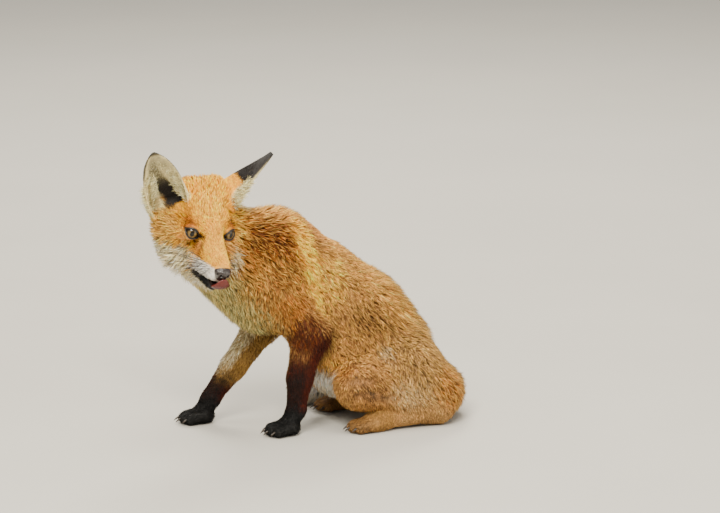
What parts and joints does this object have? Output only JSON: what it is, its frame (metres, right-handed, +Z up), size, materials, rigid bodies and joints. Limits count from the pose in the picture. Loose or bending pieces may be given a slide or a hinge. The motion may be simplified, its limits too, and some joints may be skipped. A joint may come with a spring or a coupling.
{
  "type": "fox figure",
  "caption": "Life-size sitting figure of a young red fox, head turned back over its left side and the tongue curled up to the nose, tail laid round its right side.",
  "frame": {"origin": "on the floor under the middle of the model's box", "axes": "+X towards the rump, -Y towards the fox's left, where it looks, +Z up"},
  "size_m": [0.5108, 0.322, 0.4377],
  "materials": {
    "coat": "rusty orange fur, matt, with darker and paler hairs",
    "pale_coat": "cream white fur, matt",
    "dark_coat": "black brown fur, matt",
    "nose": "moist black skin, half gloss",
    "tongue": "moist pink skin",
    "eye": "amber iris under a clear wet surface",
    "claw": "dark horn, half gloss"
  },
  "bodies": {
    "root": {"ear_left": "coat", "ear_right": "coat", "eye_left": "eye", "eye_right": "eye", "face": "coat", "foreleg_left": "coat", "foreleg_right": "coat", "forepaw_claw_left_1": "claw", "forepaw_claw_left_2": "claw", "forepaw_claw_left_3": "claw", "forepaw_claw_left_4": "claw", "forepaw_claw_right_1": "claw", "forepaw_claw_right_2": "claw", "forepaw_claw_right_3": "claw", "forepaw_claw_right_4": "claw", "forepaw_left": "dark_coat", "forepaw_right": "dark_coat", "head": "coat", "hindleg_left": "coat", "hindleg_right": "coat", "hindpaw_claw_left_1": "claw", "hindpaw_claw_left_2": "claw", "hindpaw_claw_left_3": "claw", "hindpaw_claw_left_4": "claw", "hindpaw_claw_right_1": "claw", "hindpaw_claw_right_2": "claw", "hindpaw_claw_right_3": "claw", "hindpaw_claw_right_4": "claw", "hindpaw_left": "dark_coat", "hindpaw_right": "dark_coat", "lower_jaw": "pale_coat", "neck": "coat", "nose": "nose", "tail_middle": "coat", "tail_root": "coat", "tail_tip": "pale_coat", "tongue": "tongue", "trunk": "coat"}
  },
  "joints": []
}
